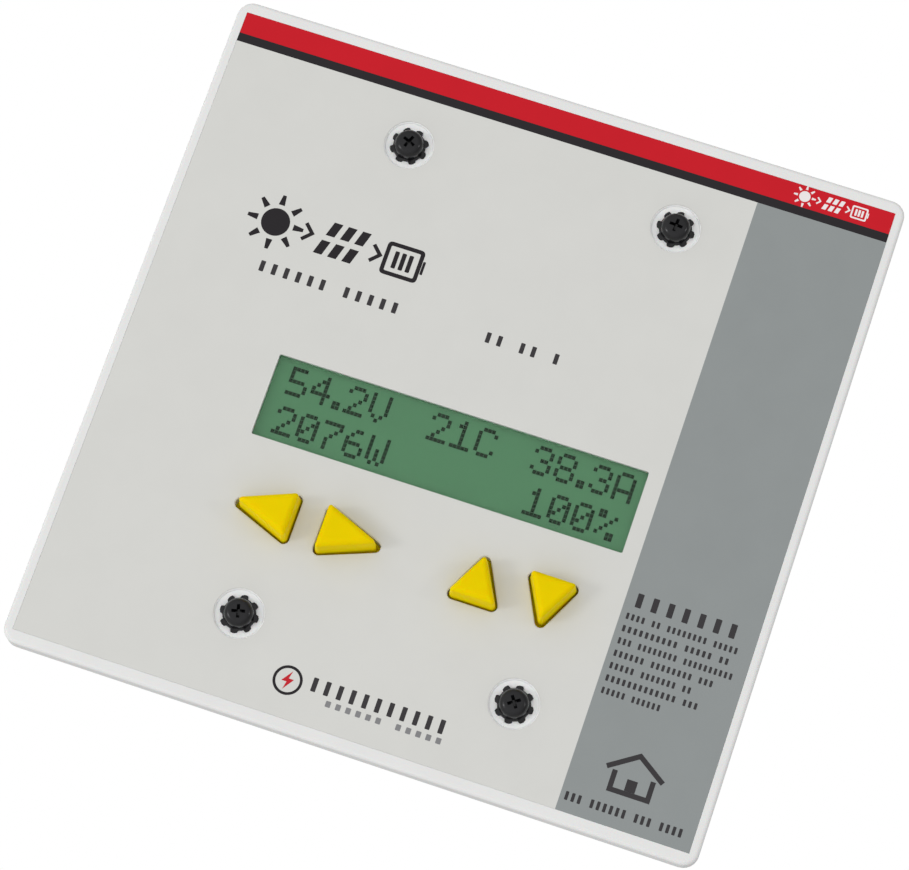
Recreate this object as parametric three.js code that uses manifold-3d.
// Flush-mounted remote meter for a solar charge controller: a moulded faceplate with a printed
// overlay, a dot-matrix display, four arrow keys, four fixing screws and one circuit board behind.
// Millimetres. +X is right and +Z is up on the wall. The front faces -Y. The origin is the centre
// of the faceplate, on the plane of the wall, so the board reaches into the wall box along +Y.
import * as THREE from 'three';
import { mergeVertices } from 'three/addons/utils/BufferGeometryUtils.js';
import Module from 'manifold-3d';

const wasm = await Module();
wasm.setup();

// ---------------------------------------------------------------- driving dimensions
const PLATE_WIDTH = 115.8;
const PLATE_HEIGHT = 115.1;
const PLATE_DEPTH = 3.2;
const PLATE_CORNER = 2.6;
const PLATE_EDGE = 0.7;
const SKIN = 2.2;
const LIP = 2.0;
const FRONT = -PLATE_DEPTH;
const SKIN_BACK = FRONT + SKIN;

const OVERLAY_WIDTH = 112.6;
const OVERLAY_HEIGHT = 110.9;
const OVERLAY_THICK = 0.15;
const OVERLAY_SUNK = 0.02;
const OVERLAY_GAP = 0.08;
const OVERLAY_HOLE_MARGIN = 0.3;

// A two-gang wall box has its fixing ears on this spacing.
const BOX_SPACING_X = 46.04;
const BOX_SPACING_Z = 83.34;
const WELL_RADIUS = 3.9;
const WELL_RIM = 0.25;
const WELL_DEPTH = 0.9;
const BOSS_RADIUS = 5.2;
const BOSS_SHORT = 0.1;
const FIXING_HOLE = 1.9;

const FIXING_SHANK = 1.75;
const FIXING_HEAD = 2.4;
const FIXING_HEAD_HIGH = 2.3;
const FIXING_LENGTH = 16;
const WASHER_BORE = 1.85;
const WASHER_ROOT = 2.7;
const WASHER_TIP = 3.25;
const WASHER_THICK = 0.5;
const WASHER_TEETH = 8;
// How far a tooth reaches to each side of its middle, as a share of the pitch of the teeth.
const TOOTH = { root: 0.3, tip: 0.2 };

const KEY_ROW_Z = -24.55;
const KEY_BASE = 8.4;
const KEY_LONG = 10.3;
const KEY_SHORT = 8.4;
const KEY_CORNER = 0.95;
const KEY_GAP = 0.35;
const KEY_TIP_GAP = 0.4;
const KEY_PROUD = 4.0;
const KEY_DRAFT = 0.2;
const KEY_BEVEL = 0.35;
const KEY_FLANGE = 0.9;
const KEY_FLANGE_THICK = 0.8;
// The middle of each key across the plate, the way it points, and how long it is.
const KEYS = {
  left: { x: -24.63, turn: Math.PI, length: KEY_LONG },
  right: { x: -10.3, turn: 0, length: KEY_LONG },
  up: { x: 11.4, turn: Math.PI / 2, length: KEY_SHORT },
  down: { x: 22.8, turn: -Math.PI / 2, length: KEY_SHORT },
};

const SLIDE_GAP = 0.05;

const WINDOW = { x: 0.2, z: -6.0, width: 62.8, height: 14.1 };
const WINDOW_WEB = 1.05;
const LENS_SUNK = 0.02;
const LENS_THICK = 1.03;
const LENS_GAP = 0.1;

const FRAME_WIDTH = 70.4;
const FRAME_HEIGHT = 24.8;
const FRAME_SHEET = 0.4;
const FRAME_FRONT = FRONT + WINDOW_WEB + SLIDE_GAP;
const FRAME_VIEW = { width: 65.2, height: 17.4 };
const FRAME_CLEAR = 0.4;
const TAB_WIDTH = 3.0;
const TAB_PITCH = 44;
const TAB_LONG = 2.8;
const CELL_WIDTH = 69.0;
const CELL_HEIGHT = 23.4;
const CELL_REAR_HEIGHT = 17.0;
const GLASS = 1.2;
const CELL_FRONT = FRAME_FRONT + FRAME_SHEET + SLIDE_GAP;
const GUIDE_WIDTH = 62;
const STRIP_HIGH = 2.4;
const STRIP_SHORT = 1;
const GUIDE_SHORT = 1;
const LAMP = { width: 1, height: 6, gap: 0.5 };

const BOARD = { left: -43.5, right: 43.5, bottom: -34.5, top: 27 };
const BOARD_FRONT = 4.9;
const BOARD_THICK = 1.6;
const BOARD_CORNER = 1;
const BOARD_BACK = BOARD_FRONT + BOARD_THICK;
const POSTS = { x: 39.5, top: 23, bottom: -30.5 };
const POST_RADIUS = 3;
const POST_HOLE = 1.2;
const POST_HOLE_DEEP = 4.4;
const BOARD_HOLE = 1.5;
const BOARD_SCREW_SHANK = 1.05;
const BOARD_SCREW_HEAD = 2.4;
const BOARD_SCREW_HEAD_HIGH = 1.68;
const BOARD_SCREW_LONG = 5.4;
// A cross recess as shares of the head: its span, the width of a slot, and how deep it goes.
const CROSS = { span: 1.1, slot: 0.28, deep: 0.6 };

const SWITCH_SIZE = 6;
const SWITCH_HIGH = 3.5;
const PLUNGER_RADIUS = 1.7;
const PLUNGER_GAP = 0.12;
const PLUNGER_DEEP = 1.9;
const PLUNGER_ROOM = 0.7;

const JACK = { x: -26, z: 17, width: 13.2, height: 12.6, deep: 15.5 };
const SOCKET = { width: 9.8, height: 6.8, deep: 12 };
const CONTACTS = 4;
const CONTACT_PITCH = 1.27;
const CONTACT_RADIUS = 0.23;
const CONTACT_SLOT = 1.1;
const CONTACT_TAIL = 1.2;
const JACK_BACK = BOARD_BACK + JACK.deep;
const SOCKET_FLOOR = JACK_BACK - SOCKET.deep;
// The plug's latch runs in a stepped slot above the socket.
const LATCH = { wide: 6.2, narrow: 3.4, low: 1.6, high: 2.35, wall: 2 };

// The parts on the back of the board: their middle, size across the board, and height.
const CONTROLLER = { x: 8, z: 15, width: 12, height: 12, high: 1.6 };
const TRANSCEIVER = { x: -10, z: 16, width: 6, height: 4.9, high: 1.75 };
const REGULATOR = { x: -38, z: 9, width: 6.6, height: 6.2, high: 2.3 };
const DIODE = { x: -38, z: -14, width: 4.4, height: 2.6, high: 2.3 };
const CRYSTAL = { x: 23, z: 19, width: 10.8, height: 4.6, high: 3.4 };
const BLOBS = { left: -12, right: 13, z: -6, radius: 7, high: 1.7 };
const CAPACITORS = {
  large: { x: 33, z: 8, radius: 5, high: 12.5 },
  small: { x: 33, z: -6, radius: 3.15, high: 7.5 },
};
const INDUCTOR = { x: -33, z: -4, radius: 4.8, waist: 4.1, flange: 1.1, high: 5.2 };

// How far a cutting tool runs past the surface that it cuts.
const PAST = 1;
const ROUND = 24;
const ROUND_SMALL = 16;
const MERGE_WITHIN = 1e-5;

// ---------------------------------------------------------------- solids
/** A closed three.js geometry as a solid that can be cut and joined. */
function toSolid(geometry) {
  const bare = new THREE.BufferGeometry();
  bare.setAttribute('position', geometry.getAttribute('position').clone());
  if (geometry.index) {
    bare.setIndex(geometry.index.clone());
  }
  const merged = mergeVertices(bare, MERGE_WITHIN);
  const vertProperties = Float32Array.from(merged.getAttribute('position').array);
  const triVerts = Uint32Array.from(merged.index.array);
  return new wasm.Manifold(new wasm.Mesh({ numProp: 3, vertProperties, triVerts }));
}

/** A solid as a three.js geometry. */
function toGeometry(solid) {
  const mesh = solid.getMesh();
  const geometry = new THREE.BufferGeometry();
  geometry.setAttribute('position', new THREE.BufferAttribute(mesh.vertProperties, 3));
  geometry.setIndex(new THREE.BufferAttribute(mesh.triVerts, 1));
  geometry.computeVertexNormals();
  return geometry;
}

/** An outline drawn in X and Z, swept along Y from front to back. */
function slab(outline, front, back, curveSegments = 4) {
  const settings = { depth: back - front, bevelEnabled: false, curveSegments };
  const geometry = new THREE.ExtrudeGeometry(outline, settings);
  geometry.rotateX(Math.PI / 2);
  geometry.translate(0, back, 0);
  return toSolid(geometry);
}

/** The same, with its front and back edges eased by `edge` on both ends. */
function easedSlab(outline, front, back, edge, steps, curveSegments = 4) {
  const settings = {
    depth: back - front - 2 * edge,
    bevelEnabled: true,
    bevelThickness: edge,
    bevelSize: edge,
    bevelOffset: -edge,
    bevelSegments: steps,
    curveSegments,
  };
  const geometry = new THREE.ExtrudeGeometry(outline, settings);
  geometry.rotateX(Math.PI / 2);
  geometry.translate(0, back - edge, 0);
  return toSolid(geometry);
}

/** A round bar along Y. */
function rod(x, z, radius, front, back, sides = ROUND, backRadius = radius) {
  const geometry = new THREE.CylinderGeometry(backRadius, radius, back - front, sides);
  geometry.translate(x, (front + back) / 2, z);
  return toSolid(geometry);
}

/** A block given by its middle in X and Z, its size there, and its front and back. */
function block(x, z, width, height, front, back) {
  const geometry = new THREE.BoxGeometry(width, back - front, height);
  geometry.translate(x, (front + back) / 2, z);
  return toSolid(geometry);
}

/** A turned solid around Y from a profile of [radius, y] points that starts and ends on the axis. */
function turned(profile, sides = ROUND) {
  const points = profile.map(([radius, y]) => new THREE.Vector2(radius, y));
  return toSolid(new THREE.LatheGeometry(points, sides));
}

/** A wire of round section along straight runs with short bends. */
function wire(points, radius) {
  const path = new THREE.CatmullRomCurve3(points, false, 'catmullrom', 0.1);
  const section = new THREE.Shape();
  section.absarc(0, 0, radius, 0, Math.PI * 2);
  const settings = { steps: 20, curveSegments: 4, bevelEnabled: false, extrudePath: path };
  return toSolid(new THREE.ExtrudeGeometry(section, settings));
}

// ---------------------------------------------------------------- outlines in X and Z
function rectangle(width, height, x = 0, z = 0) {
  const outline = new THREE.Shape();
  outline.moveTo(x - width / 2, z - height / 2);
  outline.lineTo(x + width / 2, z - height / 2);
  outline.lineTo(x + width / 2, z + height / 2);
  outline.lineTo(x - width / 2, z + height / 2);
  outline.closePath();
  return outline;
}

/** The outline round discs of one radius on the given centres, which run anticlockwise. */
function roundedHull(centres, radius) {
  const outline = new THREE.Shape();
  centres.forEach((centre, i) => {
    const before = centres[(i + centres.length - 1) % centres.length];
    const after = centres[(i + 1) % centres.length];
    const quarter = Math.PI / 2;
    const start = Math.atan2(centre[1] - before[1], centre[0] - before[0]) - quarter;
    let end = Math.atan2(after[1] - centre[1], after[0] - centre[0]) - quarter;
    if (end < start) {
      end += 2 * Math.PI;
    }
    outline.absarc(centre[0], centre[1], radius, start, end);
  });
  outline.closePath();
  return outline;
}

function roundedRectangle(width, height, radius, x = 0, z = 0) {
  const right = x + width / 2 - radius;
  const left = x - width / 2 + radius;
  const top = z + height / 2 - radius;
  const bottom = z - height / 2 + radius;
  return roundedHull([[right, bottom], [right, top], [left, top], [left, bottom]], radius);
}

/** A triangle with round corners that points along +X before it is turned. */
function arrow(key, radius, tipShort = 0) {
  const half = KEY_BASE / 2 - KEY_CORNER;
  const base = -key.length / 2 + KEY_CORNER;
  const tip = key.length / 2 - KEY_CORNER - tipShort;
  const cos = Math.round(Math.cos(key.turn));
  const sin = Math.round(Math.sin(key.turn));
  const corners = [[base, -half], [tip, 0], [base, half]];
  return roundedHull(corners.map(([x, z]) => [x * cos - z * sin, x * sin + z * cos]), radius);
}

function hole(x, z, radius) {
  const path = new THREE.Path();
  path.absarc(x, z, radius, 0, Math.PI * 2, true);
  return path;
}

function shifted(outline, x, z) {
  const points = outline.getPoints(3).map((p) => new THREE.Vector2(p.x + x, p.y + z));
  return new THREE.Shape(points);
}

// ---------------------------------------------------------------- places that several pieces share
const fixings = [];
for (const [up, z] of [['upper', BOX_SPACING_Z / 2], ['lower', -BOX_SPACING_Z / 2]]) {
  for (const [side, x] of [['left', -BOX_SPACING_X / 2], ['right', BOX_SPACING_X / 2]]) {
    fixings.push({ name: `${up}_${side}`, x, z });
  }
}

const posts = [];
for (const [up, z] of [['upper', POSTS.top], ['lower', POSTS.bottom]]) {
  for (const [side, x] of [['left', -POSTS.x], ['right', POSTS.x]]) {
    posts.push({ name: `${up}_${side}`, x, z });
  }
}

const tabs = [];
for (const side of [-1, 1]) {
  for (const level of [-1, 1]) {
    const x = WINDOW.x + side * TAB_PITCH / 2;
    tabs.push({ x, z: WINDOW.z + level * (FRAME_HEIGHT - FRAME_SHEET) / 2 });
  }
}

const pins = [];
for (let i = 0; i < CONTACTS; i += 1) {
  const x = JACK.x + (i - (CONTACTS - 1) / 2) * CONTACT_PITCH;
  pins.push({ name: `${i + 1}`, x, z: JACK.z - SOCKET.height / 2 - CONTACT_SLOT / 2 });
}

/** A key's switch sits under the middle of its triangle's area. */
function switchPlace(key) {
  const back = key.length / 6;
  return {
    x: key.x - back * Math.round(Math.cos(key.turn)),
    z: KEY_ROW_Z - back * Math.round(Math.sin(key.turn)),
  };
}

// ---------------------------------------------------------------- the faceplate and what it carries
function faceplate() {
  const outline = roundedRectangle(PLATE_WIDTH, PLATE_HEIGHT, PLATE_CORNER);
  let solid = easedSlab(outline, FRONT, 2 * PLATE_EDGE, PLATE_EDGE, 3, 3);
  const inside = roundedRectangle(PLATE_WIDTH - 2 * LIP, PLATE_HEIGHT - 2 * LIP, LIP / 2);
  solid = solid.subtract(block(0, 0, 2 * PLATE_WIDTH, 2 * PLATE_HEIGHT, 0, 2 * PAST + PLATE_EDGE));
  solid = solid.subtract(slab(inside, SKIN_BACK, PAST, 2));
  for (const { x, z } of fixings) {
    solid = solid.add(rod(x, z, BOSS_RADIUS, SKIN_BACK - SKIN / 2, -BOSS_SHORT));
  }
  for (const { x, z } of posts) {
    solid = solid.add(rod(x, z, POST_RADIUS, SKIN_BACK - SKIN / 2, BOARD_FRONT, ROUND_SMALL));
    const bottom = BOARD_FRONT - POST_HOLE_DEEP;
    solid = solid.subtract(rod(x, z, POST_HOLE, bottom, BOARD_FRONT + PAST, ROUND_SMALL));
  }
  const recess = rectangle(OVERLAY_WIDTH + 2 * OVERLAY_GAP, OVERLAY_HEIGHT + 2 * OVERLAY_GAP);
  solid = solid.subtract(slab(recess, FRONT - PAST, FRONT + OVERLAY_THICK + OVERLAY_SUNK));
  for (const { x, z } of fixings) {
    const seat = FRONT + WELL_DEPTH;
    const rim = WELL_RADIUS + WELL_RIM;
    const rimFloor = FRONT + OVERLAY_THICK + OVERLAY_SUNK + WELL_RIM;
    solid = solid.subtract(rod(x, z, WELL_RADIUS, FRONT - PAST, seat));
    solid = solid.subtract(rod(x, z, rim + PAST, rimFloor - WELL_RIM - PAST, rimFloor, ROUND, WELL_RADIUS));
    solid = solid.subtract(rod(x, z, FIXING_HOLE, FRONT, PAST, ROUND_SMALL));
  }
  for (const key of Object.values(KEYS)) {
    const aperture = shifted(arrow(key, KEY_CORNER), key.x, KEY_ROW_Z);
    solid = solid.subtract(slab(aperture, FRONT - PAST, PAST));
  }
  const pocketWidth = FRAME_WIDTH + 2 * FRAME_CLEAR;
  const pocketHeight = FRAME_HEIGHT + 2 * FRAME_CLEAR;
  const webBack = FRONT + WINDOW_WEB;
  const view = rectangle(WINDOW.width, WINDOW.height, WINDOW.x, WINDOW.z);
  solid = solid.subtract(slab(view, FRONT - PAST, PAST));
  return solid.subtract(block(WINDOW.x, WINDOW.z, pocketWidth, pocketHeight, webBack, PAST));
}

function graphicOverlay() {
  const sheet = rectangle(OVERLAY_WIDTH, OVERLAY_HEIGHT);
  for (const { x, z } of fixings) {
    sheet.holes.push(hole(x, z, WELL_RADIUS + WELL_RIM));
  }
  for (const key of Object.values(KEYS)) {
    const outline = arrow(key, KEY_CORNER + OVERLAY_HOLE_MARGIN);
    sheet.holes.push(shifted(outline, key.x, KEY_ROW_Z));
  }
  sheet.holes.push(rectangle(WINDOW.width, WINDOW.height, WINDOW.x, WINDOW.z));
  const front = FRONT + OVERLAY_SUNK;
  return slab(sheet, front, front + OVERLAY_THICK, 10);
}

function windowLens() {
  const front = FRONT + LENS_SUNK;
  const width = WINDOW.width - 2 * LENS_GAP;
  const height = WINDOW.height - 2 * LENS_GAP;
  return block(WINDOW.x, WINDOW.z, width, height, front, front + LENS_THICK);
}

/** A pan-headed screw with a cross recess: head at -Y, shank at +Y, y = 0 under the head. */
function crossScrew(head, high, shank, length) {
  const solid = turned([
    [0, -high],
    [head * 0.6, -high * 0.97],
    [head * 0.88, -high * 0.85],
    [head, -high * 0.6],
    [head, 0],
    [shank, 0],
    [shank, length - shank / 2],
    [shank / 2, length],
    [0, length],
  ], ROUND_SMALL);
  const span = head * CROSS.span;
  const slot = span * CROSS.slot;
  const floor = -high * (1 - CROSS.deep);
  return solid
    .subtract(block(0, 0, span, slot, -high - PAST, floor))
    .subtract(block(0, 0, slot, span, -high - PAST, floor));
}

/** A lock washer with outside teeth, with y = 0 on the side that rests on the well's floor. */
function toothedWasher() {
  const pitch = 2 * Math.PI / WASHER_TEETH;
  const ring = new THREE.Shape();
  for (let tooth = 0; tooth < WASHER_TEETH; tooth += 1) {
    const corners = [
      [WASHER_ROOT, -TOOTH.root],
      [WASHER_TIP, -TOOTH.tip],
      [WASHER_TIP, TOOTH.tip],
      [WASHER_ROOT, TOOTH.root],
    ];
    corners.forEach(([radius, share], i) => {
      const angle = (tooth + share) * pitch;
      const x = radius * Math.cos(angle);
      const z = radius * Math.sin(angle);
      if (tooth === 0 && i === 0) {
        ring.moveTo(x, z);
      } else {
        ring.lineTo(x, z);
      }
    });
  }
  ring.closePath();
  ring.holes.push(hole(0, 0, WASHER_BORE));
  return slab(ring, -WASHER_THICK, 0, 8);
}

/** The key in its own place: a drafted cap through the faceplate on a flange that can't pass it. */
function arrowKey(key) {
  const flangeFront = SKIN_BACK + SLIDE_GAP;
  const flangeBack = flangeFront + KEY_FLANGE_THICK;
  const widest = arrow(key, KEY_CORNER - KEY_GAP, KEY_TIP_GAP);
  const slimmest = arrow(key, KEY_CORNER - KEY_GAP - KEY_DRAFT, KEY_TIP_GAP);
  const flange = arrow(key, KEY_CORNER + KEY_FLANGE);
  const capFront = FRONT - KEY_PROUD;
  const top = easedSlab(slimmest, capFront, capFront + 3 * KEY_BEVEL, KEY_BEVEL, 2, 3);
  const stem = slab(widest, FRONT, flangeBack - SLIDE_GAP, 3);
  const cap = wasm.Manifold.hull([top, stem]);
  return cap.add(slab(flange, flangeFront, flangeBack, 3));
}

// ---------------------------------------------------------------- the display
/** A folded steel frame with a window in front, open behind, with tabs through the board. */
function displayFrame() {
  const { x, z } = WINDOW;
  const innerWidth = FRAME_WIDTH - 2 * FRAME_SHEET;
  const innerHeight = FRAME_HEIGHT - 2 * FRAME_SHEET;
  let solid = block(x, z, FRAME_WIDTH, FRAME_HEIGHT, FRAME_FRONT, BOARD_FRONT);
  const inside = FRAME_FRONT + FRAME_SHEET;
  solid = solid.subtract(block(x, z, innerWidth, innerHeight, inside, BOARD_FRONT + PAST));
  const { width, height } = FRAME_VIEW;
  solid = solid.subtract(block(x, z, width, height, FRAME_FRONT - PAST, inside + PAST));
  for (const tab of tabs) {
    const end = BOARD_FRONT + TAB_LONG;
    solid = solid.add(block(tab.x, tab.z, TAB_WIDTH, FRAME_SHEET, BOARD_FRONT - PAST, end));
  }
  return solid;
}

/** Two sheets of glass. The front one is taller, and its contacts are on the back of its edges. */
function displayCell() {
  const { x, z } = WINDOW;
  const middle = CELL_FRONT + GLASS;
  const wide = block(x, z, CELL_WIDTH, CELL_HEIGHT, CELL_FRONT, middle);
  const narrow = block(x, z, CELL_WIDTH, CELL_REAR_HEIGHT, middle - GLASS / 2, middle + GLASS);
  return wide.add(narrow);
}

function contactStrip(level) {
  const z = WINDOW.z + level * (CELL_HEIGHT - STRIP_HIGH) / 2;
  const front = CELL_FRONT + GLASS;
  return block(WINDOW.x, z, CELL_WIDTH - STRIP_SHORT, STRIP_HIGH, front, BOARD_FRONT);
}

function lightGuide() {
  const front = CELL_FRONT + 2 * GLASS + SLIDE_GAP;
  const height = CELL_REAR_HEIGHT - GUIDE_SHORT;
  return block(WINDOW.x, WINDOW.z, GUIDE_WIDTH, height, front, BOARD_FRONT);
}

function backlightLamp(side) {
  const front = CELL_FRONT + 2 * GLASS + 2 * SLIDE_GAP;
  const x = WINDOW.x + side * ((GUIDE_WIDTH + LAMP.width) / 2 + LAMP.gap);
  return block(x, WINDOW.z, LAMP.width, LAMP.height, front, BOARD_FRONT);
}

// ---------------------------------------------------------------- the circuit board
function circuitBoard() {
  const width = BOARD.right - BOARD.left;
  const height = BOARD.top - BOARD.bottom;
  const middle = (BOARD.top + BOARD.bottom) / 2;
  const outline = roundedRectangle(width, height, BOARD_CORNER, 0, middle);
  const front = BOARD_FRONT - PAST;
  const back = BOARD_BACK + PAST;
  let solid = slab(outline, BOARD_FRONT, BOARD_BACK, 2);
  for (const { x, z } of posts) {
    solid = solid.subtract(rod(x, z, BOARD_HOLE, front, back, ROUND_SMALL));
  }
  for (const { x, z } of tabs) {
    solid = solid.subtract(block(x, z, TAB_WIDTH + FRAME_SHEET, 2 * FRAME_SHEET, front, back));
  }
  for (const { x, z } of pins) {
    solid = solid.subtract(rod(x, z, 2 * CONTACT_RADIUS, front, back, 8));
  }
  return solid;
}

/** The same screw turned round, so that its head is at +Y. */
function boardScrew() {
  const screw = crossScrew(BOARD_SCREW_HEAD, BOARD_SCREW_HEAD_HIGH, BOARD_SCREW_SHANK, BOARD_SCREW_LONG);
  return screw.rotate([180, 0, 0]);
}

function switchBase() {
  const front = BOARD_FRONT - SWITCH_HIGH;
  const well = rod(0, 0, PLUNGER_RADIUS + PLUNGER_GAP, front - PAST,
    front + PLUNGER_DEEP + PLUNGER_ROOM, ROUND_SMALL);
  return block(0, 0, SWITCH_SIZE, SWITCH_SIZE, front, BOARD_FRONT).subtract(well);
}

function switchPlunger() {
  const front = SKIN_BACK + 2 * SLIDE_GAP + KEY_FLANGE_THICK;
  const back = BOARD_FRONT - SWITCH_HIGH + PLUNGER_DEEP;
  return rod(0, 0, PLUNGER_RADIUS, front, back, ROUND_SMALL);
}

/** A six-way modular socket that stands on the board with its mouth to the rear. */
function cableJack() {
  const { x, z, width, height } = JACK;
  const top = z + SOCKET.height / 2;
  const end = JACK_BACK + PAST;
  const latchFloor = SOCKET_FLOOR + LATCH.wall;
  let solid = block(x, z, width, height, BOARD_BACK, JACK_BACK);
  solid = solid.subtract(block(x, z, SOCKET.width, SOCKET.height, SOCKET_FLOOR, end));
  for (const [across, rise] of [[LATCH.wide, LATCH.low], [LATCH.narrow, LATCH.high]]) {
    solid = solid.subtract(block(x, top + (rise - PAST) / 2, across, rise + PAST, latchFloor, end));
  }
  const slotZ = z - SOCKET.height / 2 - (CONTACT_SLOT - PAST) / 2;
  const slotEnd = JACK_BACK - CONTACT_SLOT;
  const slotWidth = CONTACTS * CONTACT_PITCH;
  return solid.subtract(block(x, slotZ, slotWidth, CONTACT_SLOT + PAST, BOARD_BACK - PAST, slotEnd));
}

/** A spring wire from a solder pin up the socket's wall and back down into the socket. */
function jackContact(pin) {
  const { x, z } = pin;
  const bend = JACK_BACK - 2 * CONTACT_SLOT;
  const rise = SOCKET.height / 3;
  return wire([
    new THREE.Vector3(x, BOARD_FRONT - CONTACT_TAIL, z),
    new THREE.Vector3(x, BOARD_BACK, z),
    new THREE.Vector3(x, bend - CONTACT_SLOT, z),
    new THREE.Vector3(x, bend, z + CONTACT_SLOT / 2),
    new THREE.Vector3(x, bend - CONTACT_SLOT, z + CONTACT_SLOT),
    new THREE.Vector3(x, SOCKET_FLOOR + LATCH.wall, z + rise),
  ], CONTACT_RADIUS);
}

/** A part that stands on the back of the board: a block, a can, a round post or a turned shape. */
function packageBlock({ x, z, width, height, high }) {
  return block(x, z, width, height, BOARD_BACK, BOARD_BACK + high);
}

function crystalCan({ x, z, width, height, high }) {
  const almostHalf = height / 2 - SLIDE_GAP;
  const outline = roundedRectangle(width, height, almostHalf, x, z);
  return slab(outline, BOARD_BACK, BOARD_BACK + high, 4);
}

function standing({ x, z, radius, high }) {
  return rod(x, z, radius, BOARD_BACK, BOARD_BACK + high);
}

/** The drop of epoxy over one display driver. */
function driverBlob(x) {
  const { z, radius, high } = BLOBS;
  const shares = [[0, 0], [1, 0], [0.89, 0.41], [0.51, 0.82], [0, 1]];
  const profile = shares.map(([out, up]) => [out * radius, BOARD_BACK + up * high]);
  return turned(profile).translate([x, 0, z]);
}

function inductor() {
  const { x, z, radius, waist, flange, high } = INDUCTOR;
  const profile = [[0, 0], [radius, 0], [radius, flange], [waist, flange], [waist, high - flange],
    [radius, high - flange], [radius, high], [0, high]];
  return turned(profile.map(([out, up]) => [out, BOARD_BACK + up])).translate([x, 0, z]);
}

// ---------------------------------------------------------------- materials
function finish(color, roughness, metalness = 0) {
  return { color, roughness, metalness };
}

const FINISH = {
  whitePlastic: finish(0xe6e6e5, 0.55),
  overlayFilm: finish(0xd6d5d0, 0.5),
  clearPane: finish(0xd8e6dc, 0.15),
  blackSteel: finish(0x202022, 0.4, 0.8),
  keyYellow: finish(0xe9d202, 0.45),
  brightSteel: finish(0xa9abad, 0.35, 1),
  displayGreen: finish(0x547f61, 0.3),
  rubber: finish(0xcfcfd2, 0.8),
  diffuser: finish(0xe8efe6, 0.5),
  boardGreen: finish(0x1d6b45, 0.45),
  blackPlastic: finish(0x1c1c1e, 0.6),
  gold: finish(0xc9a24b, 0.3, 1),
  capacitorSleeve: finish(0x23304f, 0.4),
  ferrite: finish(0x3a3a3c, 0.7),
};

const group = new THREE.Group();

/** Add one named sub-part to the model. */
function place(name, solid, look, x = 0, y = 0, z = 0) {
  const mesh = new THREE.Mesh(toGeometry(solid), new THREE.MeshStandardMaterial(look));
  mesh.name = name;
  mesh.position.set(x, y, z);
  group.add(mesh);
}

// ---------------------------------------------------------------- assembly
place('faceplate', faceplate(), FINISH.whitePlastic);
place('graphic_overlay', graphicOverlay(), FINISH.overlayFilm);
place('window_lens', windowLens(), FINISH.clearPane);

const washerSeat = FRONT + WELL_DEPTH;
for (const { name, x, z } of fixings) {
  const screw = crossScrew(FIXING_HEAD, FIXING_HEAD_HIGH, FIXING_SHANK, FIXING_LENGTH);
  place(`lock_washer_${name}`, toothedWasher(), FINISH.blackSteel, x, washerSeat, z);
  place(`mounting_screw_${name}`, screw, FINISH.blackSteel, x, washerSeat - WASHER_THICK, z);
}

for (const [name, key] of Object.entries(KEYS)) {
  const spot = switchPlace(key);
  place(`key_${name}`, arrowKey(key), FINISH.keyYellow, key.x, 0, KEY_ROW_Z);
  place(`switch_plunger_${name}`, switchPlunger(), FINISH.blackPlastic, spot.x, 0, spot.z);
  place(`switch_base_${name}`, switchBase(), FINISH.blackPlastic, spot.x, 0, spot.z);
}

place('display_frame', displayFrame(), FINISH.brightSteel);
place('display_cell', displayCell(), FINISH.displayGreen);
place('contact_strip_upper', contactStrip(1), FINISH.rubber);
place('contact_strip_lower', contactStrip(-1), FINISH.rubber);
place('light_guide', lightGuide(), FINISH.diffuser);
place('backlight_lamp_left', backlightLamp(-1), FINISH.diffuser);
place('backlight_lamp_right', backlightLamp(1), FINISH.diffuser);

place('circuit_board', circuitBoard(), FINISH.boardGreen);
for (const { name, x, z } of posts) {
  place(`board_screw_${name}`, boardScrew(), FINISH.brightSteel, x, BOARD_BACK, z);
}

place('cable_jack', cableJack(), FINISH.blackPlastic);
for (const pin of pins) {
  place(`jack_contact_${pin.name}`, jackContact(pin), FINISH.gold);
}

place('microcontroller', packageBlock(CONTROLLER), FINISH.blackPlastic);
place('serial_transceiver', packageBlock(TRANSCEIVER), FINISH.blackPlastic);
place('voltage_regulator', packageBlock(REGULATOR), FINISH.blackPlastic);
place('power_diode', packageBlock(DIODE), FINISH.blackPlastic);
place('crystal', crystalCan(CRYSTAL), FINISH.brightSteel);
place('display_driver_left', driverBlob(BLOBS.left), FINISH.blackPlastic);
place('display_driver_right', driverBlob(BLOBS.right), FINISH.blackPlastic);
place('capacitor_large', standing(CAPACITORS.large), FINISH.capacitorSleeve);
place('capacitor_small', standing(CAPACITORS.small), FINISH.capacitorSleeve);
place('power_inductor', inductor(), FINISH.ferrite);

export default group;
